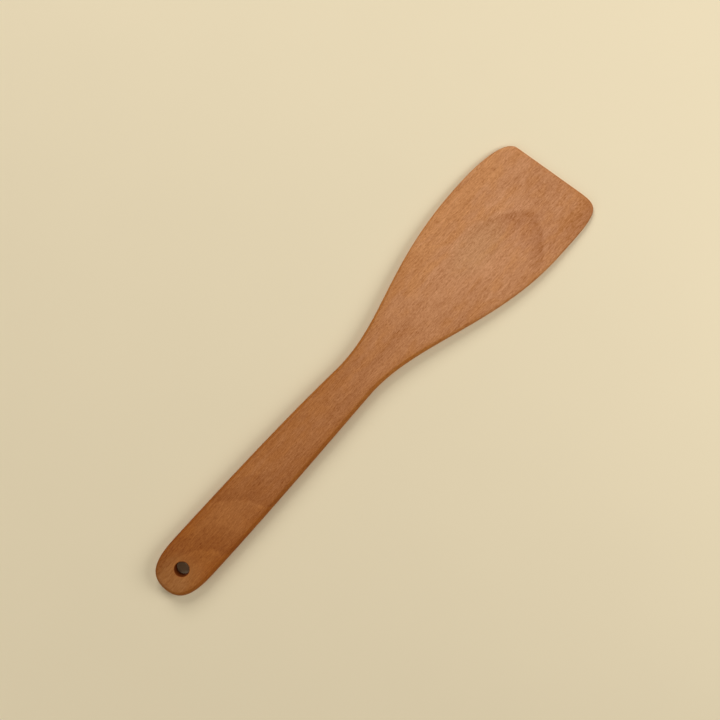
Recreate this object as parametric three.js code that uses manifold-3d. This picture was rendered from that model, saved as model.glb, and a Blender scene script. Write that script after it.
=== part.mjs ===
// A kitchen spatula made from one board of beech, lying on its flat back.
//
// Units are millimetres and +Z is up. +X runs along the axis of the handle, towards the blade's tip.
// Left is the +Y side and right is the -Y side, as seen from above with the blade pointing away.
// The origin is on the plane that the back rests on, under the middle of the spatula's box.

import * as THREE from 'three';
import { mergeVertices } from 'three/addons/utils/BufferGeometryUtils.js';
import Module from 'manifold-3d';

// Driving dimensions, in millimetres and degrees

const HANDLE_LENGTH = 155; // round end to the neck, which is the narrowest place
const HANDLE_WIDTH = 28.6; // the grip at its widest
const HANDLE_WIDEST_FROM_END = 24;
const HANDLE_THICKNESS = 8;
const HANDLE_EDGE_RADIUS = 3;

const NECK_WIDTH = 22.7;

const BLADE_LENGTH = 152.6; // neck to the tip, along the axis
const BLADE_LEFT_WIDTH = 30.35; // axis to the left side at its widest
const BLADE_RIGHT_WIDTH = 36.15; // axis to the right side at its widest
const LEFT_WIDEST_FROM_TIP = 37.6;
const RIGHT_WIDEST_FROM_TIP = 32.6;

const TIP_SLANT = 7; // degrees; the right corner reaches further than the left one
const TIP_STRAIGHT_WIDTH = 40; // straight part of the tip, across the axis
const TIP_THICKNESS = 2.5;
const TIP_EDGE_RADIUS = 0.9;

const THINNING_BEFORE_NECK = 15; // the front face starts to slope this far before the neck
const THINNING_EASE = 40; // length over which that slope sets in

const HOLE_DIAMETER = 8;
const HOLE_FROM_END = 14.9; // hanging hole's centre
const HOLE_CHAMFER = 0.5;

// Fullness of each outline curve: how far it runs straight on at its start and at its end, as shares of the
// distance that it covers in those directions
const END_FULLNESS = [0.85, 0.6];
const LEFT_FULLNESS = { grip: [0.77, 0.07], flank: [0.3, 0.5], shoulder: [0.5, 0.55] };
const RIGHT_FULLNESS = { grip: [0.42, 0.07], flank: [0.3, 0.4], shoulder: [1, 1.3] };

// Smoothness of the faceted solid
const CURVE_STEPS = { end: 14, grip: 14, flank: 20, shoulder: 20 };
const EDGE_STEPS = 4;
const HOLE_STEPS = 32;

// Limits that keep a changed size sound
const LARGEST_EDGE_SHARE = 0.45; // of the thickness, for one rounded edge
const CUTTER_OVERRUN = 2; // the hole's cutter stands this far out of both faces

const beech = new THREE.MeshStandardMaterial({ color: '#b57d52', roughness: 0.65, metalness: 0 });

const wasm = await Module();
wasm.setup();

const TIP_X = HANDLE_LENGTH + BLADE_LENGTH;
const FORWARD = new THREE.Vector2(1, 0);

// The front face slopes from the full thickness before the neck to the tip. It leaves the handle smoothly and
// settles to a straight wedge. The share is 0 on the handle and 1 at the tip.
function thinnedShare(x) {
  const start = HANDLE_LENGTH - THINNING_BEFORE_NECK;
  const run = Math.max(0, x - start);
  const fullRun = TIP_X - start;
  const fall = (distance) => distance ** 2 / (distance + THINNING_EASE);
  return Math.min(1, fall(run) / fall(fullRun));
}

function thickness(x) {
  return THREE.MathUtils.lerp(HANDLE_THICKNESS, TIP_THICKNESS, thinnedShare(x));
}

function edgeRadius(x) {
  const radius = THREE.MathUtils.lerp(HANDLE_EDGE_RADIUS, TIP_EDGE_RADIUS, thinnedShare(x));
  return Math.min(radius, LARGEST_EDGE_SHARE * thickness(x));
}

// A smooth curve between two points with a given direction at each end
function curveBetween(start, startDirection, end, endDirection, [startFullness, endFullness]) {
  const way = end.clone().sub(start);
  const startReach = startFullness * Math.abs(way.dot(startDirection));
  const endReach = endFullness * Math.abs(way.dot(endDirection));
  const leaving = start.clone().addScaledVector(startDirection, startReach);
  const arriving = end.clone().addScaledVector(endDirection, -endReach);
  return new THREE.CubicBezierCurve(start, leaving, arriving, end);
}

// One side of the outline, from the middle of the round end to the end of the tip's straight part.
// side is 1 on the left and -1 on the right. Each point has its direction out of the wood.
function outlineSide(side, bladeWidth, widestFromTip, fullness) {
  const slant = Math.tan(THREE.MathUtils.degToRad(TIP_SLANT));
  const sideways = new THREE.Vector2(0, side);
  const alongTip = new THREE.Vector2(side * slant, -side).normalize();
  const tipEnd = side * TIP_STRAIGHT_WIDTH / 2;

  const roundEnd = new THREE.Vector2(0, 0);
  const grip = new THREE.Vector2(HANDLE_WIDEST_FROM_END, side * HANDLE_WIDTH / 2);
  const neck = new THREE.Vector2(HANDLE_LENGTH, side * NECK_WIDTH / 2);
  const blade = new THREE.Vector2(TIP_X - widestFromTip, side * bladeWidth);
  const tip = new THREE.Vector2(TIP_X - tipEnd * slant, tipEnd);

  const stretches = [
    [curveBetween(roundEnd, sideways, grip, FORWARD, END_FULLNESS), CURVE_STEPS.end],
    [curveBetween(grip, FORWARD, neck, FORWARD, fullness.grip), CURVE_STEPS.grip],
    [curveBetween(neck, FORWARD, blade, FORWARD, fullness.flank), CURVE_STEPS.flank],
    [curveBetween(blade, FORWARD, tip, alongTip, fullness.shoulder), CURVE_STEPS.shoulder],
  ];
  const points = [{ at: roundEnd, outward: new THREE.Vector2(-1, 0) }];
  for (const [curve, steps] of stretches) {
    for (let step = 1; step <= steps; step += 1) {
      const along = curve.getTangent(step / steps);
      const outward = new THREE.Vector2(-along.y, along.x).multiplyScalar(side);
      points.push({ at: curve.getPoint(step / steps), outward });
    }
  }
  return points;
}

// The heights and insets of a board's edge, from its flat back up to its front face, at one outline point
function edgeProfile(x) {
  const radius = edgeRadius(x);
  const profile = [];
  for (let step = 0; step <= EDGE_STEPS; step += 1) {
    const angle = (step / EDGE_STEPS) * (Math.PI / 2);
    profile.push({ inset: radius * (1 - Math.sin(angle)), aboveBack: radius * (1 - Math.cos(angle)) });
  }
  for (let step = 0; step <= EDGE_STEPS; step += 1) {
    const angle = (step / EDGE_STEPS) * (Math.PI / 2);
    profile.push({ inset: radius * (1 - Math.cos(angle)), belowFront: radius * (1 - Math.sin(angle)) });
  }
  return profile;
}

// The board with its rounded edges and sloping front, before the hole is drilled.
// Rings of points run round the outline, from the back's border to the front's.
function boardGeometry() {
  const left = outlineSide(1, BLADE_LEFT_WIDTH, LEFT_WIDEST_FROM_TIP, LEFT_FULLNESS);
  const right = outlineSide(-1, BLADE_RIGHT_WIDTH, RIGHT_WIDEST_FROM_TIP, RIGHT_FULLNESS);
  const outline = [...right, ...left.slice(1).reverse()];
  const count = outline.length;
  const profiles = outline.map(({ at }) => edgeProfile(at.x));
  const ringCount = profiles[0].length;

  const positions = [];
  for (let ring = 0; ring < ringCount; ring += 1) {
    outline.forEach(({ at, outward }, index) => {
      const { inset, aboveBack, belowFront } = profiles[index][ring];
      const place = at.clone().addScaledVector(outward, -inset);
      positions.push(place.x, place.y, aboveBack ?? thickness(place.x) - belowFront);
    });
  }

  const triangles = [];
  const addQuad = (a, b, c, d) => triangles.push(a, b, c, a, c, d);
  for (let ring = 0; ring + 1 < ringCount; ring += 1) {
    const lower = ring * count;
    const upper = lower + count;
    for (let index = 0; index < count; index += 1) {
      const next = (index + 1) % count;
      addQuad(lower + index, lower + next, upper + next, upper + index);
    }
  }

  // Back and front faces, as rungs between the two sides
  const front = (ringCount - 1) * count;
  const rightIndex = (rung) => rung;
  const leftIndex = (rung) => count - rung;
  triangles.push(0, leftIndex(1), rightIndex(1));
  triangles.push(front, front + rightIndex(1), front + leftIndex(1));
  for (let rung = 1; rung + 1 < right.length; rung += 1) {
    const corners = [rightIndex(rung), rightIndex(rung + 1), leftIndex(rung + 1), leftIndex(rung)];
    addQuad(...corners.toReversed());
    addQuad(...corners.map((corner) => front + corner));
  }

  const geometry = new THREE.BufferGeometry();
  geometry.setAttribute('position', new THREE.Float32BufferAttribute(positions, 3));
  geometry.setIndex(triangles);
  return geometry;
}

// A round cutter for the hanging hole, which widens at both faces to chamfer the rims
function holeCutterGeometry() {
  const radius = HOLE_DIAMETER / 2;
  const flare = HOLE_CHAMFER + CUTTER_OVERRUN;
  const top = thickness(HOLE_FROM_END);
  const profile = [
    new THREE.Vector2(0, -CUTTER_OVERRUN),
    new THREE.Vector2(radius + flare, -CUTTER_OVERRUN),
    new THREE.Vector2(radius, HOLE_CHAMFER),
    new THREE.Vector2(radius, top - HOLE_CHAMFER),
    new THREE.Vector2(radius + flare, top + CUTTER_OVERRUN),
    new THREE.Vector2(0, top + CUTTER_OVERRUN),
  ];
  const geometry = new THREE.LatheGeometry(profile, HOLE_STEPS);
  geometry.rotateX(Math.PI / 2);
  geometry.translate(HOLE_FROM_END, 0, 0);
  return geometry;
}

function toSolid(geometry) {
  const bare = geometry.clone();
  bare.deleteAttribute('normal');
  bare.deleteAttribute('uv');
  const merged = mergeVertices(bare);
  const index = Array.from(merged.index.array);
  const corners = [];
  for (let start = 0; start < index.length; start += 3) {
    const [a, b, c] = index.slice(start, start + 3);
    if (a !== b && b !== c && c !== a) corners.push(a, b, c);
  }
  return new wasm.Manifold(new wasm.Mesh({
    numProp: 3,
    vertProperties: Float32Array.from(merged.attributes.position.array),
    triVerts: Uint32Array.from(corners),
  }));
}

function toGeometry(solid) {
  const { vertProperties, triVerts } = solid.getMesh();
  const geometry = new THREE.BufferGeometry();
  geometry.setAttribute('position', new THREE.Float32BufferAttribute(vertProperties, 3));
  geometry.setIndex(Array.from(triVerts));
  geometry.computeVertexNormals();
  return geometry;
}

function makeSpatula() {
  const geometry = toGeometry(toSolid(boardGeometry()).subtract(toSolid(holeCutterGeometry())));
  geometry.computeBoundingBox();
  const middle = geometry.boundingBox.getCenter(new THREE.Vector3());
  const spatula = new THREE.Mesh(geometry, beech);
  spatula.name = 'spatula';
  spatula.position.set(-middle.x, -middle.y, 0);
  return spatula;
}

const part = new THREE.Group();
part.name = 'wooden_spatula';
part.add(makeSpatula());

export default part;
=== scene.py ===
import math
from collections import namedtuple

import bmesh
import bpy
from bpy.props import FloatProperty, FloatVectorProperty, IntProperty, IntVectorProperty, PointerProperty
from mathutils import Matrix, Vector
from mathutils.geometry import interpolate_bezier


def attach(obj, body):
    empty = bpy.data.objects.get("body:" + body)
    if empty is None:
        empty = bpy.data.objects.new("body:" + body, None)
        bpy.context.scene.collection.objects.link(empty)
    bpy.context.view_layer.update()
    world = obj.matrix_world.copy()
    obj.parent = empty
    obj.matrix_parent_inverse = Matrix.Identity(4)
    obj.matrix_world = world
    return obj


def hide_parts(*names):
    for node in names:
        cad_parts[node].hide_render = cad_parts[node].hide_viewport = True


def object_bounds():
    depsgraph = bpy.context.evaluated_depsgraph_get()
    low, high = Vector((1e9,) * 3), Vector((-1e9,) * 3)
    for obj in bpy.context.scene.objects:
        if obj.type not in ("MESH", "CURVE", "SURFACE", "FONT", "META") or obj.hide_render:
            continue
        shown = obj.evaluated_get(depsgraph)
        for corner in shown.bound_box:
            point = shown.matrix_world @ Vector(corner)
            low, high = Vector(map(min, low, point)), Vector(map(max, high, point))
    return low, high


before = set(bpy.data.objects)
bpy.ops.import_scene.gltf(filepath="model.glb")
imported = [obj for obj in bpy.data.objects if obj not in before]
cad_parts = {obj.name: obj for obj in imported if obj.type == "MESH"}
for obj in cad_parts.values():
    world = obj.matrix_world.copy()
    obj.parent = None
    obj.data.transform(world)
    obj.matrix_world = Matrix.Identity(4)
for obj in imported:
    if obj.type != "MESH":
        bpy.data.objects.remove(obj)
CAD_LOW, CAD_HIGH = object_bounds()

bl_info = {
    "name": "Wooden Spatula",
    "version": (1, 0, 0),
    "blender": (4, 5, 0),
    "location": "3D View > Sidebar > Spatula",
    "description": "Models a spatula cut from one board of beech, on a pale floor in soft light",
    "category": "Object",
}

MM = 0.001
PICTURE_SIDE = 720  # pixels
SENSOR_WIDTH = 36.0  # millimetres


# Property helpers

def length(name, description, millimetres):
    default = millimetres * MM
    return FloatProperty(name=name, description=description, default=default, unit="LENGTH", precision=5)


def position(name, description, millimetres):
    defaults = [value * MM for value in millimetres]
    return FloatVectorProperty(
        name=name, description=description, size=3, default=defaults,
        subtype="XYZ", unit="LENGTH", precision=5,
    )


def number(name, description, value):
    return IntProperty(name=name, description=description, default=value)


def share(name, description, value):
    return FloatProperty(name=name, description=description, default=value, subtype="FACTOR")


def watts(name, description, value):
    return FloatProperty(name=name, description=description, default=value, unit="POWER")


def fullness(name, description, values):
    return FloatVectorProperty(name=name, description=description, size=2, default=values)


def dip(name, description, millimetres):
    defaults = [value * MM for value in millimetres]
    return FloatVectorProperty(name=name, description=description, size=3, default=defaults, unit="LENGTH")


def layer(name, description, values):
    """A layer of the wood's unevenness: length and width of its features in millimetres, and its strength"""
    return FloatVectorProperty(name=name, description=description, size=3, default=values)


def patch(name, description, millimetres):
    """A soft patch of the board: its middle along and across the board, and its reach along and across"""
    defaults = [value * MM for value in millimetres]
    return FloatVectorProperty(name=name, description=description, size=4, default=defaults, unit="LENGTH")


def colour(name, description, red, green, blue):
    """A colour property, given as it looks on a screen, from 0 to 255"""
    linear = [to_linear(channel / 255) for channel in (red, green, blue)]
    return FloatVectorProperty(
        name=name, description=description, size=3, default=linear, subtype="COLOR", min=0.0, max=1.0
    )


def to_linear(channel):
    if channel <= 0.04045:
        return channel / 12.92
    return ((channel + 0.055) / 1.055) ** 2.4


# Settings that a user would change

class SpatulaSizes(bpy.types.PropertyGroup):
    """Sizes of the board. The axis runs along the middle of the handle, from its round end to the tip"""

    handle_length: length("Handle Length", "Round end to the neck, the narrowest place", 155)
    handle_width: length("Handle Width", "The grip at its widest", 28.6)
    handle_widest: length("Handle Widest At", "Round end to the widest place of the grip", 24)
    handle_thickness: FloatProperty(
        name="Handle Thickness", description="Flat back to front face, on the handle",
        default=CAD_HIGH.z - CAD_LOW.z, unit="LENGTH", precision=5,
    )
    handle_edge: length("Handle Edge Radius", "Rounding of the handle's edges", 3)
    neck_width: length("Neck Width", "The handle at its narrowest", 22.7)
    blade_length: length("Blade Length", "Neck to the tip, along the axis", 152.6)
    blade_left: length("Blade Left Width", "Axis to the left side at its widest", 30.35)
    blade_right: length("Blade Right Width", "Axis to the right side at its widest", 36.15)
    left_widest: length("Left Widest From Tip", "Tip back to the widest place of the left side", 37.6)
    right_widest: length("Right Widest From Tip", "Tip back to the widest place of the right side", 32.6)
    tip_slant: FloatProperty(
        name="Tip Slant", description="Turn of the tip away from square",
        default=math.radians(7), subtype="ANGLE",
    )
    tip_straight: length("Tip Straight Width", "Straight part of the tip, across the axis", 40)
    tip_thickness: length("Tip Thickness", "Flat back to front face, at the tip", 2.5)
    tip_edge: length("Tip Edge Radius", "Rounding of the tip's edges", 0.9)
    thinning_start: length("Thinning Before Neck", "Where the front starts to slope, before the neck", 15)
    thinning_ease: length("Thinning Ease", "Length over which the slope sets in", 40)
    hole_diameter: length("Hole Diameter", "Hanging hole", 8)
    hole_from_end: length("Hole From End", "Round end to the middle of the hanging hole", 14.9)
    hole_rim: length("Hole Rim Radius", "Rounding of the hole's rims", 0.5)
    end_fullness: fullness("End Fullness", "How full the round end's curve is", (0.85, 0.6))
    left_grip: fullness("Left Grip Fullness", "How full the left curve from grip to neck is", (0.77, 0.07))
    right_grip: fullness("Right Grip Fullness", "How full the right curve from grip to neck is", (0.42, 0.07))
    left_flank: fullness("Left Flank Fullness", "How full the curve from neck to left side is", (0.3, 0.5))
    right_flank: fullness("Right Flank Fullness", "How full the curve from neck to right side is", (0.3, 0.4))
    left_shoulder: fullness("Left Shoulder Fullness", "How full the left corner is", (0.5, 0.55))
    right_shoulder: fullness("Right Shoulder Fullness", "How full the right corner is", (1.0, 1.3))


class MeshDetail(bpy.types.PropertyGroup):
    """How finely the board is meshed"""

    columns: number("Columns", "Faces along the board", 200)
    rows: number("Rows", "Faces across the board", 48)
    edge_steps: number("Edge Steps", "Faces round each rounded edge", 6)
    curve_steps: number("Curve Steps", "Straight pieces in each outline curve", 120)
    end_corner: length("End Corner", "Round end to the mesh's corners there, along the outline", 16)
    tip_corner: length("Tip Corner", "Tip's straight part to the mesh's corners, along the outline", 11)
    end_fade: number("End Fade", "How soon the ends' curves fade out of the mesh", 12)
    grid_smoothing: number("Grid Smoothing", "Passes that even out the whole mesh", 6)
    hole_collar: length("Hole Collar", "Ring of faces kept round the hanging hole", 1.6)
    hole_block: IntVectorProperty(
        name="Hole Block", description="Faces that make way for the hole, along and across from its middle",
        size=2, default=(4, 9),
    )
    hole_smoothing: number("Hole Smoothing", "Passes that even out the mesh round the hole", 20)


class BeechFinish(bpy.types.PropertyGroup):
    """Colours and figure of the wood"""

    light_wood: colour("Light Wood", "The lightest wood", 217, 160, 116)
    dark_wood: colour("Dark Wood", "The darkest wood, in growth lines and pores", 141, 77, 20)
    golden_tint: colour("Golden Tint", "Yellower parts of the board, as a multiplier", 255, 250, 232)
    rosy_tint: colour("Rosy Tint", "Rosier wood at the blade's arch, as a multiplier", 252, 251, 255)
    pale_tint: colour("Pale Tint", "Paler wood inside the blade's arch, as a multiplier", 250, 255, 255)
    olive_tint: colour("Olive Tint", "Greener wood at the round end, as a multiplier", 245, 254, 255)
    # The handle's darkening is partly by use and partly painted shade
    handle_wear_and_shade_tint: colour("Handled Tint", "Darkening of the handle by use, as a multiplier", 206, 173, 97)
    # The rounded edges' darkening is partly wear and partly painted shade
    edge_wear_and_shade_tint: colour("Edge Tint", "Darkening of rounded edges by use, as a multiplier", 236, 218, 155)
    # The bore's darkening is partly its end grain and partly painted shade in the hole
    bore_tint: colour("Bore Tint", "Darkening of the hanging hole's wall, as a multiplier", 190, 150, 80)
    heart_depth: length("Heart Depth", "Depth of the tree's heart under the round end", 29.2)
    heart_aside: length("Heart Aside", "How far right of the axis the tree's heart lies", 13.5)
    grip_dip: dip("Grip Dip", "Start, end and depth of the heart's dip under the grip", (10, 95, 20.8))
    blade_dip: dip("Blade Dip", "Start, end and depth of the heart's dip under the blade", (245, 315, 10.0))
    broad_wander: layer("Broad Wander", "Long waves in the growth lines", (60, 18, 1.6))
    fine_wander: layer("Fine Wander", "Short waves in the growth lines", (16, 4, 0.9))
    ring_spacing: length("Ring Spacing", "Distance between the strong growth lines", 5.95)
    line_strength: share("Line Strength", "How dark the growth lines are", 0.3)
    arch_strength: share("Arch Strength", "How dark the arches in the grip are", 0.2)
    tone: share("Tone", "Mean darkness of the wood between its growth lines", 0.385)
    clouds: layer("Clouds", "Broad dark patches", (45, 9, 0.2))
    mottle: layer("Mottle", "Narrow dark patches", (26, 2.3, 0.25))
    streaks: layer("Streaks", "Long dark streaks", (10, 0.52, 0.62))
    fibres: layer("Fibres", "Bundles of fibres", (1.7, 0.29, 1.1))
    pores: layer("Pores", "Open pores", (0.7, 0.26, 0.55))
    long_flecks: layer("Long Flecks", "Ray flecks", (3.0, 0.48, 0.26))
    short_flecks: layer("Short Flecks", "Small ray flecks", (1.6, 0.36, 0.26))
    golden_patch: patch("Golden Patch", "Where the blade's left flank is most golden", (217, 15, 20, 11))
    rosy_patch: patch("Rosy Patch", "Where the blade is rosy, at the arch", (276, -15, 16, 22))
    pale_patch: patch("Pale Patch", "Where the blade is pale, inside the arch", (250, 0, 25, 13))
    olive_patch: patch("Olive Patch", "Where the round end is greener", (3, 0, 22, 22))
    light_patch: patch("Light Patch", "Where the neck is lightest, on its right", (178, -8, 24, 7.5))
    # The dark patch on the blade's right flank is painted shade
    shaded_patch: patch("Dark Patch", "Where the blade's right flank is darkest", (222, -19, 26, 15))
    roughness: share("Roughness", "Roughness of the sanded and oiled face", 0.62)
    relief: share("Relief", "How strongly dark grain lies below light grain", 0.35)
    relief_depth: length("Relief Depth", "Depth of the darkest grain", 0.06)
    sheen: share("Sheen", "How strongly the oiled face reflects", 0.16)


class StudioStage(bpy.types.PropertyGroup):
    """Floor, light and camera. Lights are placed by the picture's right, up and out"""

    floor: colour("Floor", "Pale floor", 236, 222, 190)
    sky: colour("Surroundings", "Light from all around", 238, 228, 206)
    sky_strength: share("Surroundings Strength", "Level of light from all around", 0.22)
    backdrop_strength: share("Backdrop", "How pale the far floor and the surroundings look", 0.95)
    key_power: watts("Key Light", "Soft light from the top of the picture", 7.6)
    key_place: position("Key Light Place", "Where the key light hangs", (-250, 870, 730))
    key_side: length("Key Light Side", "Side of the square key light", 650)
    fill_power: watts("Fill Light", "Soft light from the right", 4.0)
    fill_place: position("Fill Light Place", "Where the fill light hangs", (720, 50, 540))
    fill_side: length("Fill Light Side", "Side of the square fill light", 500)
    low_power: watts("Low Light", "Soft light from the lower left", 1.5)
    low_place: position("Low Light Place", "Where the low light hangs", (-550, -450, 540))
    low_side: length("Low Light Side", "Side of the square low light", 500)
    camera_place: position("Camera Place", "Where the camera hangs above the board", (13.9, 7.8, 517.8))
    camera_turn: FloatVectorProperty(
        name="Camera Turn", description="Turn of the camera, which looks down on the board", size=3,
        default=[math.radians(angle) for angle in (-0.48, 0.52, -47.485)], subtype="EULER",
    )
    focal_pixels: FloatProperty(name="Focal Length", description="Focal length, in pixels", default=950.0)


# Outline of the board

OUTWARD_REACH = 0.4 * MM  # how far to either side the outline's direction at a place is taken from


class Outline:
    """The board's edge seen from above, anticlockwise from the round end, by distance along it"""

    def __init__(self, sizes, steps):
        right = side_points(sizes, -1, steps)
        left = side_points(sizes, 1, steps)
        self.points = right + left[:0:-1]
        self.distances = [0.0]
        for here, there in zip(self.points, self.points[1:] + self.points[:1]):
            self.distances.append(self.distances[-1] + (there - here).length)
        self.length = self.distances[-1]
        self.right_tip = self.distances[len(right) - 1]
        self.left_tip = self.distances[len(right)]

    def at(self, distance):
        distance %= self.length
        low, high = 0, len(self.points)
        while high - low > 1:
            middle = (low + high) // 2
            if self.distances[middle] <= distance:
                low = middle
            else:
                high = middle
        step = self.distances[low + 1] - self.distances[low]
        there = self.points[(low + 1) % len(self.points)]
        return self.points[low].lerp(there, (distance - self.distances[low]) / step)

    def outward(self, distance):
        along = self.at(distance + OUTWARD_REACH) - self.at(distance - OUTWARD_REACH)
        return Vector((along.y, -along.x, 0)).normalized()


def curve_between(start, start_direction, end, end_direction, full, steps):
    """Points of a smooth curve with a given direction at each end, without its first point"""
    way = end - start
    leaving = start + start_direction * full[0] * abs(way.dot(start_direction))
    arriving = end - end_direction * full[1] * abs(way.dot(end_direction))
    return interpolate_bezier(start, leaving, arriving, end, steps + 1)[1:]


def side_points(sizes, side, steps):
    """One side of the outline, from the round end to the tip's straight part; side is 1 on the left"""
    blade_width = sizes.blade_left if side > 0 else sizes.blade_right
    widest = sizes.left_widest if side > 0 else sizes.right_widest
    grip = sizes.left_grip if side > 0 else sizes.right_grip
    flank = sizes.left_flank if side > 0 else sizes.right_flank
    shoulder = sizes.left_shoulder if side > 0 else sizes.right_shoulder
    slant = math.tan(sizes.tip_slant)
    tip_x = sizes.handle_length + sizes.blade_length
    tip_y = side * sizes.tip_straight / 2

    forward = Vector((1, 0, 0))
    sideways = Vector((0, side, 0))
    along_tip = Vector((side * slant, -side, 0)).normalized()
    stops = [
        (Vector((0, 0, 0)), sideways),
        (Vector((sizes.handle_widest, side * sizes.handle_width / 2, 0)), forward),
        (Vector((sizes.handle_length, side * sizes.neck_width / 2, 0)), forward),
        (Vector((tip_x - widest, side * blade_width, 0)), forward),
        (Vector((tip_x - tip_y * slant, tip_y, 0)), along_tip),
    ]
    curves = (sizes.end_fullness, grip, flank, shoulder)
    points = [stops[0][0]]
    for (start, leave), (end, arrive), full in zip(stops, stops[1:], curves):
        points += curve_between(start, leave, end, arrive, full, steps)
    return points


def thinned_share(sizes, x):
    """How far the front face has sloped down: 0 on the handle and 1 at the tip"""
    start = sizes.handle_length - sizes.thinning_start
    run = max(0.0, x - start)
    full_run = sizes.handle_length + sizes.blade_length - start
    return min(1.0, fall(run, sizes.thinning_ease) / fall(full_run, sizes.thinning_ease))


def fall(run, ease):
    return run ** 2 / (run + ease)


def between(low, high, part):
    return low + (high - low) * part


def thickness(sizes, x):
    return between(sizes.handle_thickness, sizes.tip_thickness, thinned_share(sizes, x))


def edge_radius(sizes, x):
    return between(sizes.handle_edge, sizes.tip_edge, thinned_share(sizes, x))


# The board

HALF_GRID = 0.5  # half a side of the square grid that is fitted into the outline
SMOOTHING = 0.5  # how far one smoothing pass moves a vertex towards the middle of its neighbours
NEAR_HOLE = 2  # smoothing round the hole reaches this many times as far as its collar

Border = namedtuple("Border", "point outward radius")


class VertexMarks:
    """What the mesh remembers for each vertex: its place in the grid, how far inside the border of the flat
    it lies, and how the edge there is rounded"""

    def __init__(self, bm):
        self.column = bm.verts.layers.int.new("column")
        self.row = bm.verts.layers.int.new("row")
        self.inset = bm.verts.layers.float.new("inset")
        self.outward = bm.verts.layers.float_vector.new("outward")
        self.radius = bm.verts.layers.float.new("radius")
        self.rounded = bm.verts.layers.float.new("rounded")


def plan_grid(bm, sizes, detail, marks):
    """A grid of faces that fills the flat of the board, inside its rounded edges"""
    bmesh.ops.create_grid(bm, x_segments=detail.columns, y_segments=detail.rows, size=HALF_GRID)
    outline = Outline(sizes, detail.curve_steps)
    right_tip = outline.right_tip - detail.tip_corner
    left_tip = outline.left_tip + detail.tip_corner
    left_end = outline.length - detail.end_corner

    def border(start, end, part):
        distance = between(start, end, part)
        point = outline.at(distance)
        outward = outline.outward(distance)
        radius = edge_radius(sizes, point.x)
        return Border(point - outward * radius, outward, radius)

    columns = []
    for column in range(detail.columns + 1):
        u = column / detail.columns
        columns.append((border(detail.end_corner, right_tip, u), border(left_end, left_tip, u)))
    rows = []
    for row in range(detail.rows + 1):
        v = row / detail.rows
        rows.append((border(detail.end_corner, -detail.end_corner, v), border(right_tip, left_tip, v)))
    end_right, end_left = columns[0]
    tip_right, tip_left = columns[-1]

    for vert in bm.verts:
        column = round((vert.co.x + HALF_GRID) * detail.columns)
        row = round((vert.co.y + HALF_GRID) * detail.rows)
        vert[marks.column] = column
        vert[marks.row] = row
        u, v = column / detail.columns, row / detail.rows
        right, left = columns[column]
        end, tip = rows[row]
        width = (left.point - right.point).length
        extent = (tip.point - end.point).length
        vert[marks.inset] = min(v * width, (1 - v) * width, u * extent, (1 - u) * extent)
        end_bulge = end.point - end_right.point.lerp(end_left.point, v)
        tip_bulge = tip.point - tip_right.point.lerp(tip_left.point, v)
        bulge = end_bulge * (1 - u) ** detail.end_fade + tip_bulge * u ** detail.end_fade
        vert.co = right.point.lerp(left.point, v) + bulge
        if vert.is_boundary:
            sides = {0: right, detail.rows: left}
            ends = {0: end, detail.columns: tip}
            edge = sides.get(row) or ends.get(column)
            vert.co = edge.point
            vert[marks.outward] = edge.outward
            vert[marks.radius] = edge.radius
    smooth_flat(bm, [vert for vert in bm.verts if not vert.is_boundary], detail.grid_smoothing)


def smooth_flat(bm, verts, passes):
    """Evens out the flat grid at these vertices"""
    for _ in range(passes):
        bmesh.ops.smooth_vert(bm, verts=verts, factor=SMOOTHING, use_axis_x=True, use_axis_y=True)


def open_hole(bm, sizes, detail, marks):
    """Opens a block of the flat grid round the hanging hole, with a ring of faces down to its rim"""
    centre = Vector((sizes.hole_from_end, 0, 0))
    rim = sizes.hole_diameter / 2 + sizes.hole_rim
    collar = rim + detail.hole_collar
    middle = min(bm.verts, key=lambda vert: (vert.co - centre).length)
    middle_column, middle_row = middle[marks.column], middle[marks.row]
    reach_along, reach_across = detail.hole_block

    def in_block(vert):
        along = abs(vert[marks.column] - middle_column) <= reach_along
        across = abs(vert[marks.row] - middle_row) <= reach_across
        return along and across

    def bearing(vert):
        way = vert.co - centre
        return math.atan2(way.y, way.x)

    def near_hole(vert):
        return (vert.co - centre).length < NEAR_HOLE * collar

    old_border = {edge for edge in bm.edges if edge.is_boundary}
    block = [face for face in bm.faces if all(in_block(vert) for vert in face.verts)]
    bmesh.ops.delete(bm, geom=block, context="FACES")
    loop = [edge for edge in bm.edges if edge.is_boundary and edge not in old_border]
    around = sorted({vert for edge in loop for vert in edge.verts}, key=bearing)
    step = math.tau / len(around)
    first = sum(bearing(vert) - step * index for index, vert in enumerate(around)) / len(around)
    for index, vert in enumerate(around):
        turn = first + step * index
        vert.co = centre + Vector((math.cos(turn), math.sin(turn), 0)) * collar
    near = [vert for vert in bm.verts if not vert.is_boundary and near_hole(vert)]
    smooth_flat(bm, near, detail.hole_smoothing)
    made = bmesh.ops.extrude_edge_only(bm, edges=loop)["geom"]
    for vert in only_verts(made):
        inward = (centre - vert.co).normalized()
        vert.co = centre - inward * rim
        vert[marks.outward] = inward
        vert[marks.radius] = sizes.hole_rim


def only_verts(items):
    return [item for item in items if isinstance(item, bmesh.types.BMVert)]


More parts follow.
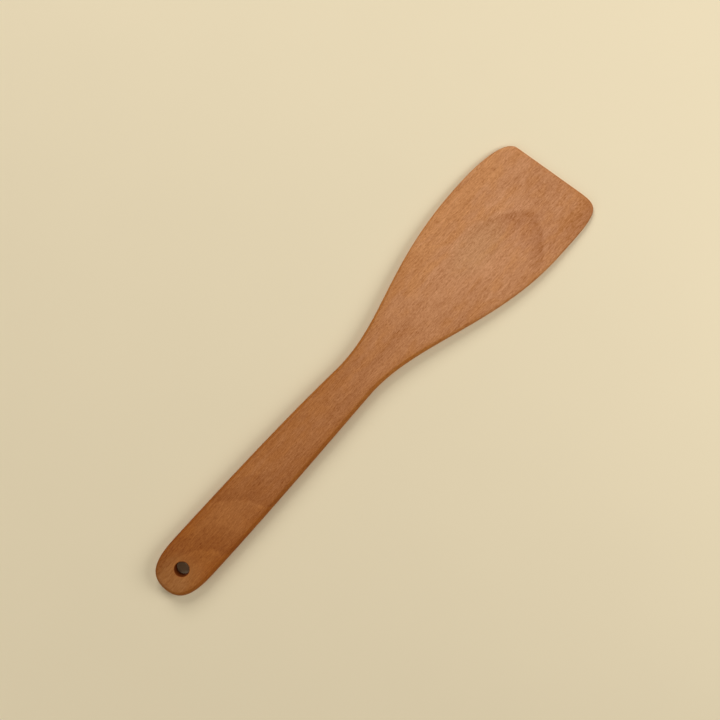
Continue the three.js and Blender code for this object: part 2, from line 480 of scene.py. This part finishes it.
def raise_board(bm, sizes, detail, marks):
    """Gives the flat grid its thickness, its sloping front and its rounded edges"""
    made = bmesh.ops.extrude_face_region(bm, geom=bm.faces[:])["geom"]
    bmesh.ops.translate(bm, verts=only_verts(made), vec=(0, 0, 1))
    upright = [edge for edge in bm.edges if edge.verts[0].co.z != edge.verts[1].co.z]
    walls = {vert for edge in upright for vert in edge.verts}
    cuts = 2 * detail.edge_steps
    made = bmesh.ops.subdivide_edges(bm, edges=upright, cuts=cuts, use_grid_fill=True)["geom_inner"]
    walls.update(only_verts(made))
    for vert in bm.verts:
        lift = vert.co.z
        if vert not in walls:
            vert.co.z = lift * thickness(sizes, vert.co.x)
            continue
        radius = vert[marks.radius]
        ring = round(lift * (cuts + 1))
        if ring <= detail.edge_steps:
            angle = math.pi / 2 * ring / detail.edge_steps
            reach = math.sin(angle)
            vert.co.z = radius * (1 - math.cos(angle))
            vert.co += vert[marks.outward] * radius * reach
        else:
            angle = math.pi / 2 * (ring - detail.edge_steps - 1) / detail.edge_steps
            reach = math.cos(angle)
            vert.co += vert[marks.outward] * radius * reach
            vert.co.z = thickness(sizes, vert.co.x) - radius * (1 - math.sin(angle))
        vert[marks.rounded] = reach
    bmesh.ops.recalc_face_normals(bm, faces=bm.faces[:])


class SPATULA_OT_make_board(bpy.types.Operator):
    """Model the spatula: blade, neck and handle in one board, with its hanging hole"""

    bl_idname = "spatula.make_board"
    bl_label = "Make Spatula"

    def execute(self, context):
        settings = context.scene
        sizes, detail = settings.spatula_sizes, settings.spatula_detail
        bm = bmesh.new()
        marks = VertexMarks(bm)
        plan_grid(bm, sizes, detail, marks)
        open_hole(bm, sizes, detail, marks)
        raise_board(bm, sizes, detail, marks)
        bmesh.ops.translate(bm, verts=bm.verts[:], vec=board_origin(sizes))
        for face in bm.faces:
            face.smooth = True
        mesh = bpy.data.meshes.new("beech_spatula")
        bm.to_mesh(mesh)
        bm.free()
        piece = bpy.data.objects.new("beech_spatula", mesh)
        context.scene.collection.objects.link(piece)
        mesh.materials.append(beech_material(sizes, settings.spatula_finish))
        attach(piece, "root")
        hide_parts("spatula")
        return {"FINISHED"}


def board_origin(sizes):
    """Place of the round end's middle in the frame"""
    return Vector((CAD_LOW.x, CAD_LOW.y + sizes.blade_right, CAD_LOW.z))


# Node building

class NodeBench:
    """Adds shader nodes to a material or a world, and feeds them with values or other nodes' outputs"""

    def __init__(self, holder):
        holder.use_nodes = True
        self.tree = holder.node_tree
        self.tree.nodes.clear()

    def feed(self, socket, value):
        if isinstance(value, bpy.types.NodeSocket):
            self.tree.links.new(value, socket)
        elif socket.type == "RGBA":
            socket.default_value = (*value, 1.0)
        else:
            socket.default_value = value

    def add(self, kind, inputs=None, **settings):
        node = self.tree.nodes.new(kind)
        for name, value in settings.items():
            setattr(node, name, value)
        for name, value in (inputs or {}).items():
            self.feed(node.inputs[name], value)
        return node

    def math(self, operation, *values):
        node = self.add("ShaderNodeMath", operation=operation)
        for socket, value in zip(node.inputs, values):
            self.feed(socket, value)
        return node.outputs[0]

    def times(self, first, second):
        return self.math("MULTIPLY", first, second)

    def total(self, start, weighted):
        """A starting value, plus the values each times its weight"""
        for value, weight in weighted:
            start = self.math("MULTIPLY_ADD", value, weight, start)
        return start

    def squares(self, first, second):
        """The sum of the squares of two values"""
        return self.math("ADD", self.times(first, first), self.times(second, second))

    def ease(self, value, low, high, to_low=0.0, to_high=1.0, kind="SMOOTHSTEP"):
        """A step of the value, from to_low at low to to_high at high"""
        limits = {"Value": value, "From Min": low, "From Max": high, "To Min": to_low, "To Max": to_high}
        return self.add("ShaderNodeMapRange", limits, interpolation_type=kind).outputs[0]

    def profile(self, value, stops):
        """Straight lines between stops, each of them a value and the level there"""
        first, last = stops[0][0], stops[-1][0]
        ramp = self.add("ShaderNodeValToRGB", {"Fac": self.ease(value, first, last, kind="LINEAR")})
        points = ramp.color_ramp.elements
        for place, _ in stops[1:-1]:
            points.new((place - first) / (last - first))
        for point, (_, level) in zip(points, stops):
            point.color = (level, level, level, 1.0)
        return ramp.outputs["Color"]

    def split(self, vector):
        return self.add("ShaderNodeSeparateXYZ", {"Vector": vector}).outputs

    def drawn_out(self, vector, lengths):
        """Coordinates for a pattern whose features have these lengths along the three axes"""
        scale = [1 / extent for extent in lengths]
        return self.add("ShaderNodeMapping", {"Vector": vector, "Scale": scale}).outputs[0]

    def noise(self, vector, lengths, detail, roughness=0.5):
        """Smooth random values between 0 and 1, with features of these lengths"""
        place = self.drawn_out(vector, lengths)
        inputs = {"Vector": place, "Scale": 1.0, "Detail": detail, "Roughness": roughness}
        return self.add("ShaderNodeTexNoise", inputs).outputs["Fac"]

    def mark(self, name):
        """A value that the mesh remembers for each vertex"""
        return self.add("ShaderNodeAttribute", attribute_name=name).outputs["Fac"]

    def seen_directly(self):
        """1 for what the camera sees, also by reflection or through glass, and 0 for light on things"""
        path = self.add("ShaderNodeLightPath").outputs
        reflected = self.math("MAXIMUM", path["Is Glossy Ray"], path["Is Transmission Ray"])
        return self.math("MAXIMUM", path["Is Camera Ray"], reflected)

    def mix(self, part, first, second, blend="MIX"):
        """The first colour, blended by this part with the second; colours are sockets 6 and 7 of the node"""
        node = self.add("ShaderNodeMix", data_type="RGBA", blend_type=blend)
        self.feed(node.inputs[0], part)
        self.feed(node.inputs[6], first)
        self.feed(node.inputs[7], second)
        return node.outputs[2]


# Figure of the wood, in millimetres from the round end, from the axis or from the tree's heart

SOFT_DETAIL = 1.0  # detail of noise for soft patches
FINE_DETAIL = 2.0  # detail of noise for grain
GRAIN_ROUGHNESS = 0.6

LINE_SHARPNESS = 2.6  # how late in a ring the wood darkens
LINE_PEAK = 0.88  # share of a ring at which it starts to turn light again
ARCH_PEAK = 0.07  # share of two rings at which an arch is darkest
ARCH_END = 0.6  # share of two rings at which an arch has faded out
FLECK_CORE = 0.12  # a fleck's full part and its end, as shares of the distance between flecks
FLECK_END = 0.48

# Places along the board with the strength of its growth lines, and with the handle's darkening, which is
# partly by use and partly painted shade
STRONG_LINES = ((156, 0.2), (178, 0.65), (192, 0.65), (206, 0.15), (255, 0.15), (275, 0.95))
DARKENED_BY_USE_AND_SHADE = (
    (4, 0.72), (26, 0.92), (66, 0.74), (84, 0.61), (112, 0.625),
    (125, 0.55), (186, 0.29), (208, 0.12), (228, 0.0),
)
EVENED_WHERE_DARKENED = 0.15  # how much of the figure goes where the handle is darkened, by use and by painted shade

# Steps: a start and an end, and the levels there where they aren't 0 and 1
STRONG_LINES_FADE = (62.0, 60.0)  # from the heart
GRIP_ARCHES_FADE = (125.0, 85.0)  # along the board
FAINT_LINES = (0.3, 0.65, 0.05, 0.4)  # of noise
GOLDEN_LEFT = (8.0, 28.0, -0.1, 0.5)  # across the board
GOLDEN_OUTSIDE = (59.0, 60.5, 0.0, 0.35)  # from the heart
GOLDEN_CLOUDS = (0.35, 0.7, -0.15, 0.6)  # of noise
GOLDEN_SPOTS = (0.3, 0.7, -0.45, 0.45)  # of noise
WEAR_AND_SHADE_ALONG = (180.0, 230.0, 1.0, 0.5)  # along the board: edge wear and painted edge shade, less on the blade
WORN_AND_SHADED_MARGIN = (0.0, 3.8 * MM, 0.3, 0.0)  # inside the rounded edge, in metres: painted shade spread onto the flat beside the edge
WEAR_AND_SHADE_START = (-6.0, 6.0, 0.0, 0.3)  # across the board, to where the wear and painted shade of a rounded edge start: at once on the right, later on the left
WEAR_AND_SHADE_FULL = (-6.0, 6.0, 0.4, 0.7)  # across the board, to where that wear and painted shade are full

# Lengths of the noise's features along the three axes
FAINT_LINE_LENGTHS = (45, 13, 13)
GOLDEN_CLOUD_LENGTHS = (40, 9, 9)
GOLDEN_SPOT_LENGTHS = (9, 4, 4)

GOLDEN_PATCH_TINT = 0.7
LIGHT_PATCH_TONE = -0.08
# Painted shade on the blade's right flank
SHADED_PATCH_TONE = 0.08
GOLDEN_PATCH_TONE = 0.05
ROUGHER_WHERE_DARK = 0.2

# The blade's margins: steps across and along the board, and how much darker it is painted there: painted
# shade on the right side, darker towards the tip, and lighter on the left side where the value is below zero
Margin = namedtuple("Margin", "across along tone")
MARGINS = (
    Margin((-19.0, -30.0), (262.0, 284.0, 0.35, 1.0), 0.1),
    Margin((16.0, 2.0), (276.0, 293.0), 0.09),
    Margin((14.0, 26.0), (210.0, 285.0), -0.07),
)


def board_millimetres(bench, sizes):
    """Millimetres along the board from its round end, across it from its axis, and up from its back"""
    place = bench.add("ShaderNodeTexCoord").outputs["Object"]
    per_mm = 1 / MM
    inputs = {"Vector": place, "Location": -board_origin(sizes) * per_mm, "Scale": (per_mm, per_mm, per_mm)}
    return bench.add("ShaderNodeMapping", inputs).outputs[0]


def uneven(bench, grain, features, detail, roughness=0.5):
    """A layer of unevenness, as much below zero as above it"""
    along, across, strength = features
    level = bench.noise(grain, (along, across, across), detail, roughness)
    return bench.math("MULTIPLY_ADD", level, strength, -strength / 2)


def ring_radius(bench, grain, finish):
    """Distance from the tree's heart under the board; growth lines close in arches where the heart dips"""
    x, y, z = bench.split(grain)
    depth = bench.math("ADD", z, finish.heart_depth / MM)
    for start, end, drop in (finish.grip_dip, finish.blade_dip):
        depth = bench.math("ADD", depth, bench.ease(x, start / MM, end / MM, 0.0, drop / MM))
    aside = bench.math("ADD", y, finish.heart_aside / MM)
    radius = bench.math("SQRT", bench.squares(aside, depth))
    for features, detail in ((finish.broad_wander, SOFT_DETAIL), (finish.fine_wander, FINE_DETAIL)):
        radius = bench.math("ADD", radius, uneven(bench, grain, features, detail))
    return radius


def growth_lines(bench, radius, spacing):
    """Wood that darkens towards each growth line and is light again after it"""
    part = bench.math("FRACT", bench.math("DIVIDE", radius, spacing))
    return bench.times(bench.math("POWER", part, LINE_SHARPNESS), bench.ease(part, LINE_PEAK, 1.0, 1.0, 0.0))


def grip_arches(bench, radius, spacing):
    """Wood that is dark just after every second growth line and lightens towards the next"""
    count = bench.math("DIVIDE", radius, spacing)
    part = bench.math("FRACT", bench.math("MULTIPLY_ADD", count, 0.5, -0.5))
    return bench.times(bench.ease(part, 0.0, ARCH_PEAK), bench.ease(part, ARCH_PEAK, ARCH_END, 1.0, 0.0))


def ray_flecks(bench, grain, spacing):
    """Short dashes along the grain, this far apart, each with a strength of its own"""
    place = bench.drawn_out(grain, spacing)
    cells = bench.add("ShaderNodeTexVoronoi", {"Vector": place, "Scale": 1.0}).outputs
    strength = bench.add("ShaderNodeSeparateColor", {"Color": cells["Color"]}).outputs["Red"]
    return bench.times(bench.ease(cells["Distance"], FLECK_CORE, FLECK_END, 1.0, 0.0), strength)


def grain_tone(bench, grain, finish):
    """Darkness of the wood without its growth lines, from broad clouds down to single pores"""
    tone = finish.tone
    for features in (finish.clouds, finish.mottle, finish.streaks, finish.fibres, finish.pores):
        tone = bench.math("ADD", uneven(bench, grain, features, FINE_DETAIL, GRAIN_ROUGHNESS), tone)
    for along, across, strength in (finish.long_flecks, finish.short_flecks):
        flecks = ray_flecks(bench, grain, (along, across, along))
        tone = bench.math("MULTIPLY_ADD", flecks, strength, tone)
    return tone


def inside_patch(bench, x, y, place):
    """1 in the middle of a soft patch and 0 outside it"""
    along, across, reach_along, reach_across = place
    u = bench.math("MULTIPLY_ADD", x, MM / reach_along, -along / reach_along)
    v = bench.math("MULTIPLY_ADD", y, MM / reach_across, -across / reach_across)
    return bench.ease(bench.squares(u, v), 0.0, 1.0, 1.0, 0.0)


def inside_bore(bench, x, y, sizes):
    """1 on the hanging hole's wall and 0 outside its rim"""
    from_middle = bench.math("SUBTRACT", x, sizes.hole_from_end / MM)
    distance = bench.math("SQRT", bench.squares(from_middle, y))
    wall = sizes.hole_diameter / 2 / MM
    return bench.ease(distance, wall, wall + sizes.hole_rim / MM, 1.0, 0.0)


def wood_tone(bench, grain, radius, handled_and_shaded, finish):
    """Darkness of the board: the wood's growth lines, arches and patches, with the figure evened where the
    handle is darkened, a patch of painted shade on the blade's right flank, and the blade's margins, which
    are painted shade on its right side, darker towards the tip and lighter on its left
    """
    x, y = bench.split(grain)[:2]
    spacing = finish.ring_spacing / MM
    faint = bench.ease(bench.noise(grain, FAINT_LINE_LENGTHS, SOFT_DETAIL), *FAINT_LINES)
    strong = bench.times(bench.profile(x, STRONG_LINES), bench.ease(radius, *STRONG_LINES_FADE))
    lines = bench.times(growth_lines(bench, radius, spacing), bench.math("MAXIMUM", faint, strong))
    arches = bench.times(grip_arches(bench, radius, spacing), bench.ease(x, *GRIP_ARCHES_FADE))
    figure = grain_tone(bench, grain, finish)
    # The figure is evened where the handle is darkened by use and by painted shade
    evened = bench.times(bench.math("SUBTRACT", finish.tone, figure), handled_and_shaded)
    changes = [(evened, EVENED_WHERE_DARKENED), (lines, finish.line_strength), (arches, finish.arch_strength)]
    # Margins: painted shade on the blade's right side, darker towards the tip, lighter on its left side
    for margin in MARGINS:
        inside = bench.times(bench.ease(y, *margin.across), bench.ease(x, *margin.along))
        changes.append((inside, margin.tone))
    patches = (
        (finish.light_patch, LIGHT_PATCH_TONE),
        (finish.shaded_patch, SHADED_PATCH_TONE),
        (finish.golden_patch, GOLDEN_PATCH_TONE),
    )
    for place, change in patches:
        changes.append((inside_patch(bench, x, y, place), change))
    return bench.total(figure, changes)


def golden_share(bench, grain, radius, finish):
    """How golden the wood is: more so on the left, far from the heart and in patches"""
    x, y = bench.split(grain)[:2]
    clouds = bench.ease(bench.noise(grain, GOLDEN_CLOUD_LENGTHS, SOFT_DETAIL), *GOLDEN_CLOUDS)
    spots = bench.ease(bench.noise(grain, GOLDEN_SPOT_LENGTHS, SOFT_DETAIL), *GOLDEN_SPOTS)
    golden = bench.ease(y, *GOLDEN_LEFT)
    for share_here in (clouds, spots, bench.ease(radius, *GOLDEN_OUTSIDE)):
        golden = bench.math("ADD", golden, share_here)
    return bench.total(golden, [(inside_patch(bench, x, y, finish.golden_patch), GOLDEN_PATCH_TINT)])


def worn_and_shaded_share(bench, x, y):
    """How darkened the rounded edges are, partly by wear and partly as painted shade: on the rounded edges
    and a little way inside them, from the very edge on the right, and less on the blade
    """
    rounded = bench.ease(bench.mark("rounded"), bench.ease(y, *WEAR_AND_SHADE_START), bench.ease(y, *WEAR_AND_SHADE_FULL))
    margin = bench.ease(bench.mark("inset"), *WORN_AND_SHADED_MARGIN)
    return bench.times(bench.math("MAXIMUM", rounded, margin), bench.ease(x, *WEAR_AND_SHADE_ALONG))


# Materials

def beech_material(sizes, finish):
    """Oiled beech, as a solid that is cut by every face: growth lines, ray flecks and fine fibres"""
    material = bpy.data.materials.new("oiled_beech")
    bench = NodeBench(material)
    grain = board_millimetres(bench, sizes)
    x, y = bench.split(grain)[:2]
    radius = ring_radius(bench, grain, finish)
    # The handle's darkening along the board: partly by use, partly painted shade
    handled_and_shaded = bench.profile(x, DARKENED_BY_USE_AND_SHADE)
    tone = wood_tone(bench, grain, radius, handled_and_shaded, finish)
    tints = (
        (golden_share(bench, grain, radius, finish), finish.golden_tint),
        (inside_patch(bench, x, y, finish.rosy_patch), finish.rosy_tint),
        (inside_patch(bench, x, y, finish.pale_patch), finish.pale_tint),
        (inside_patch(bench, x, y, finish.olive_patch), finish.olive_tint),
        # The handle darkened partly by use and partly as painted shade
        (handled_and_shaded, finish.handle_wear_and_shade_tint),
        # Rounded edges darkened partly by wear and partly as painted shade
        (worn_and_shaded_share(bench, x, y), finish.edge_wear_and_shade_tint),
        # Bore wall darkened partly as end grain and partly as painted shade
        (inside_bore(bench, x, y, sizes), finish.bore_tint),
    )
    wood = bench.mix(tone, finish.light_wood, finish.dark_wood)
    for part, tint in tints:
        wood = bench.mix(part, wood, tint, "MULTIPLY")

    smoothest = finish.roughness - ROUGHER_WHERE_DARK / 2
    roughness = bench.math("MULTIPLY_ADD", tone, ROUGHER_WHERE_DARK, smoothest)
    relief = {"Height": tone, "Strength": finish.relief, "Distance": finish.relief_depth}
    bump = bench.add("ShaderNodeBump", relief, invert=True).outputs[0]
    surface = {"Base Color": wood, "Roughness": roughness, "Normal": bump, "Specular IOR Level": finish.sheen}
    shader = bench.add("ShaderNodeBsdfPrincipled", surface).outputs[0]
    bench.add("ShaderNodeOutputMaterial", {"Surface": shader})
    return material


FLOOR_RADIUS = 4.0  # metres
FLOOR_SIDES = 64
FLOOR_MOTTLE = (0.08, 0.08, 0.08)  # metres
FLOOR_MOTTLE_DETAIL = 3.0
FLOOR_MOTTLE_LEVEL = 0.97  # the darkest of the mottle, against the floor's colour
FLOOR_FADE = (0.3, 0.62)  # metres from the middle, where the floor turns into the backdrop
FLOOR_ROUGHNESS = 0.9
FLOOR_SHEEN = 0.1


def floor_material(stage):
    """A matt painted floor with a faint mottle, which far off is as pale as the surroundings"""
    material = bpy.data.materials.new("pale_floor")
    bench = NodeBench(material)
    place = bench.add("ShaderNodeTexCoord").outputs["Object"]
    mottle = bench.noise(place, FLOOR_MOTTLE, FLOOR_MOTTLE_DETAIL)
    darker = [channel * FLOOR_MOTTLE_LEVEL for channel in stage.floor]
    paint = bench.mix(mottle, stage.floor, darker)
    surface = {"Base Color": paint, "Roughness": FLOOR_ROUGHNESS, "Specular IOR Level": FLOOR_SHEEN}
    lit = bench.add("ShaderNodeBsdfPrincipled", surface)
    pale = bench.add("ShaderNodeEmission", {"Color": stage.floor, "Strength": stage.backdrop_strength})
    distance = bench.add("ShaderNodeVectorMath", {0: place}, operation="LENGTH").outputs["Value"]
    part = bench.times(bench.ease(distance, *FLOOR_FADE), bench.seen_directly())
    shader = bench.add("ShaderNodeMixShader", {0: part, 1: lit.outputs[0], 2: pale.outputs[0]}).outputs[0]
    bench.add("ShaderNodeOutputMaterial", {"Surface": shader})
    return material


# Floor, light and camera

CAMERA_NEAREST = 10 * MM


class SPATULA_OT_set_stage(bpy.types.Operator):
    """Set the pale floor, the soft lights and the camera that looks down on the board"""

    bl_idname = "spatula.set_stage"
    bl_label = "Set Stage"

    def execute(self, context):
        stage = context.scene.spatula_stage
        add_camera(context, stage)
        add_floor(context, stage)
        add_surroundings(context, stage)
        add_light(context, stage, "key_light", stage.key_power, stage.key_place, stage.key_side)
        add_light(context, stage, "fill_light", stage.fill_power, stage.fill_place, stage.fill_side)
        add_light(context, stage, "low_light", stage.low_power, stage.low_place, stage.low_side)
        context.scene.view_settings.view_transform = "Standard"
        return {"FINISHED"}


def add_camera(context, stage):
    camera = bpy.data.cameras.new("camera")
    camera.sensor_width = SENSOR_WIDTH
    camera.lens = stage.focal_pixels * SENSOR_WIDTH / PICTURE_SIDE
    camera.clip_start = CAMERA_NEAREST
    viewer = bpy.data.objects.new("camera", camera)
    viewer.location = stage.camera_place
    viewer.rotation_euler = stage.camera_turn
    context.scene.collection.objects.link(viewer)
    context.scene.camera = viewer


def add_floor(context, stage):
    bm = bmesh.new()
    bmesh.ops.create_circle(bm, cap_ends=True, segments=FLOOR_SIDES, radius=FLOOR_RADIUS)
    bmesh.ops.translate(bm, verts=bm.verts[:], vec=(0, 0, CAD_LOW.z))
    mesh = bpy.data.meshes.new("floor")
    bm.to_mesh(mesh)
    bm.free()
    floor = bpy.data.objects.new("floor", mesh)
    mesh.materials.append(floor_material(stage))
    context.scene.collection.objects.link(floor)


def add_surroundings(context, stage):
    """Even light from all around, which looks like more of the pale floor"""
    world = bpy.data.worlds.new("surroundings")
    bench = NodeBench(world)
    light = bench.add("ShaderNodeBackground", {"Color": stage.sky, "Strength": stage.sky_strength})
    pale = bench.add("ShaderNodeBackground", {"Color": stage.floor, "Strength": stage.backdrop_strength})
    inputs = {0: bench.seen_directly(), 1: light.outputs[0], 2: pale.outputs[0]}
    bench.add("ShaderNodeOutputWorld", {"Surface": bench.add("ShaderNodeMixShader", inputs).outputs[0]})
    context.scene.world = world


def add_light(context, stage, name, power, place, side):
    """A square soft light aimed at the board, at a place given by the picture's right, up and out"""
    light = bpy.data.lights.new(name, "AREA")
    light.energy = power
    light.size = side
    lamp = bpy.data.objects.new(name, light)
    lamp.location = Matrix.Rotation(stage.camera_turn[2], 3, "Z") @ Vector(place)
    lamp.rotation_euler = (-lamp.location).to_track_quat("-Z", "Y").to_euler()
    context.scene.collection.objects.link(lamp)


# Panel and registration

class VIEW3D_PT_spatula(bpy.types.Panel):
    """Sizes, finish and stage of the spatula"""

    bl_label = "Wooden Spatula"
    bl_space_type = "VIEW_3D"
    bl_region_type = "UI"
    bl_category = "Spatula"

    def draw(self, context):
        for operator in OPERATORS:
            self.layout.operator(operator.bl_idname)
        for holder, group in SETTINGS.items():
            box = self.layout.box()
            box.label(text=group.__doc__.split(".")[0])
            for name in group.__annotations__:
                box.prop(getattr(context.scene, holder), name)


SETTINGS = {
    "spatula_sizes": SpatulaSizes,
    "spatula_detail": MeshDetail,
    "spatula_finish": BeechFinish,
    "spatula_stage": StudioStage,
}
OPERATORS = (SPATULA_OT_make_board, SPATULA_OT_set_stage)
CLASSES = (*SETTINGS.values(), *OPERATORS, VIEW3D_PT_spatula)


def register():
    for made in CLASSES:
        bpy.utils.register_class(made)
    for holder, group in SETTINGS.items():
        setattr(bpy.types.Scene, holder, PointerProperty(type=group))


def unregister():
    for holder in SETTINGS:
        delattr(bpy.types.Scene, holder)
    for made in reversed(CLASSES):
        bpy.utils.unregister_class(made)


def main():
    register()
    bpy.ops.spatula.set_stage()
    bpy.ops.spatula.make_board()


if __name__ == "__main__":
    main()
